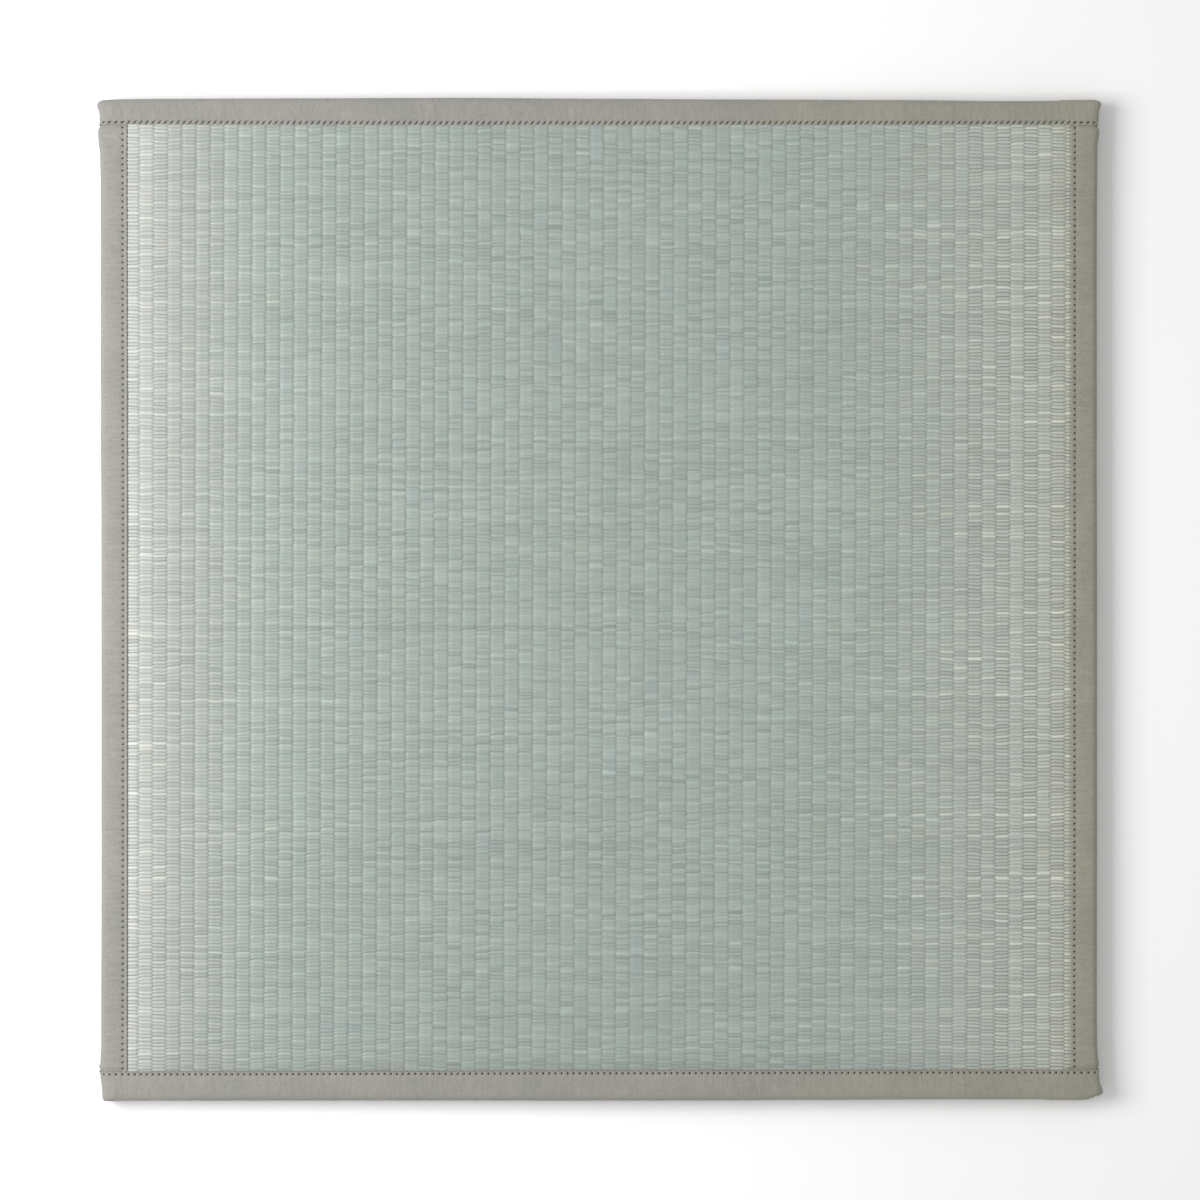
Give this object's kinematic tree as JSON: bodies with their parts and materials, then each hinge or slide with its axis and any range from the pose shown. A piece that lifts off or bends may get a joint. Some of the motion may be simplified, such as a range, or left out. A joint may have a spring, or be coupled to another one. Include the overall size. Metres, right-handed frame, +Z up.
{
  "type": "tatami mat",
  "caption": "Square loose-laid tatami mat: filled rush mat with a ribbed woven face and greige cloth border strips sewn over all edges",
  "frame": {"origin": "on the floor under the middle of the mat", "axes": "+Z up out of the rush face; +Y along the ribs, from the near to the far edge in the picture; +X across the ribs, to the right in the picture"},
  "size_m": [0.8238, 0.8233, 0.0248],
  "materials": {
    "rush_mat": "woven rush, grey-green with straw and blue-grey rushes, dull sheen",
    "side_strip_left": "greige plain-weave ribbon, matt",
    "side_strip_right": "greige plain-weave ribbon, matt",
    "end_strip_far": "greige plain-weave ribbon, matt",
    "end_strip_near": "greige plain-weave ribbon, matt"
  },
  "bodies": {
    "root": {"rush_mat": "rush_mat", "side_strip_left": "side_strip_left", "side_strip_right": "side_strip_right", "end_strip_far": "end_strip_far", "end_strip_near": "end_strip_near"}
  },
  "joints": []
}
